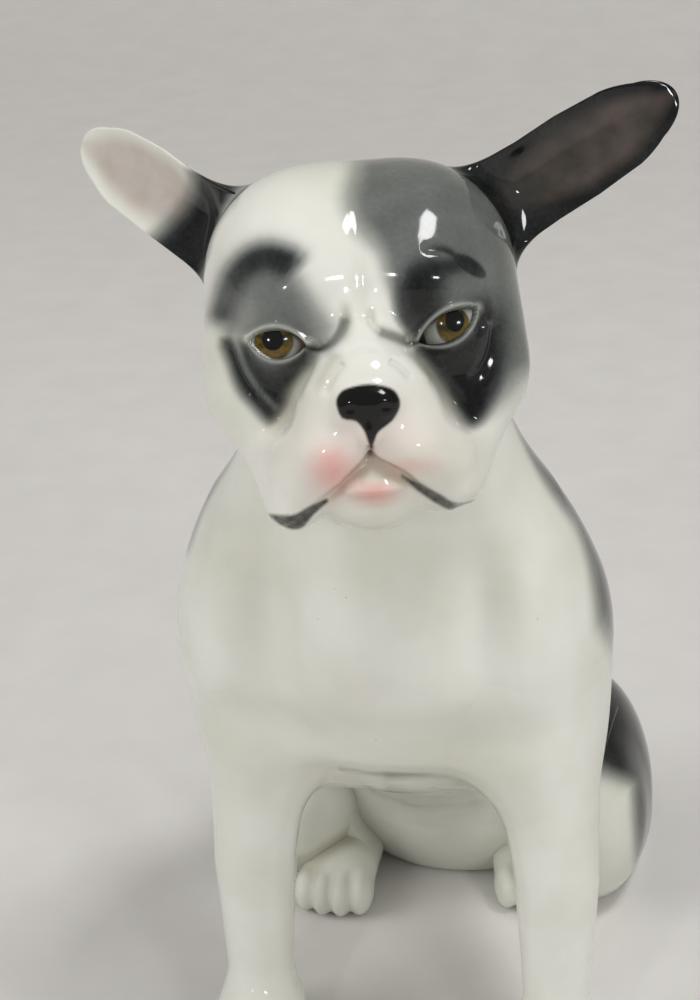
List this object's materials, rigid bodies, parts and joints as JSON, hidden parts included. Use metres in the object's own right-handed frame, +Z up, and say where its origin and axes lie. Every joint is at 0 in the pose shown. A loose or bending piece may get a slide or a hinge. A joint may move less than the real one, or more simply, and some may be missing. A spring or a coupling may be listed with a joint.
{
  "type": "seated dog figurine",
  "caption": "Glazed porcelain figurine of a seated bulldog with its ears spread and its head turned a little, standing on its seat and four paws.",
  "frame": {"origin": "on the table, at the middle of the seat's flat underside", "axes": "+Z up, the dog's chest faces -Y, its own left side is +X"},
  "size_m": [0.098, 0.1395, 0.1882],
  "materials": {
    "glazed_porcelain": "gloss",
    "fired_slip": "gloss"
  },
  "bodies": {
    "root": {"trunk": "glazed_porcelain", "head": "glazed_porcelain", "ear_left": "glazed_porcelain", "ear_right": "glazed_porcelain", "foreleg_left": "glazed_porcelain", "foreleg_right": "glazed_porcelain", "hind_leg_left": "glazed_porcelain", "hind_leg_right": "glazed_porcelain", "tail": "glazed_porcelain", "neck_slip": "fired_slip", "ear_left_slip": "fired_slip", "ear_right_slip": "fired_slip", "foreleg_left_slip": "fired_slip", "foreleg_right_slip": "fired_slip", "hind_leg_left_slip": "fired_slip", "hind_leg_right_slip": "fired_slip", "tail_slip": "fired_slip"}
  },
  "joints": []
}
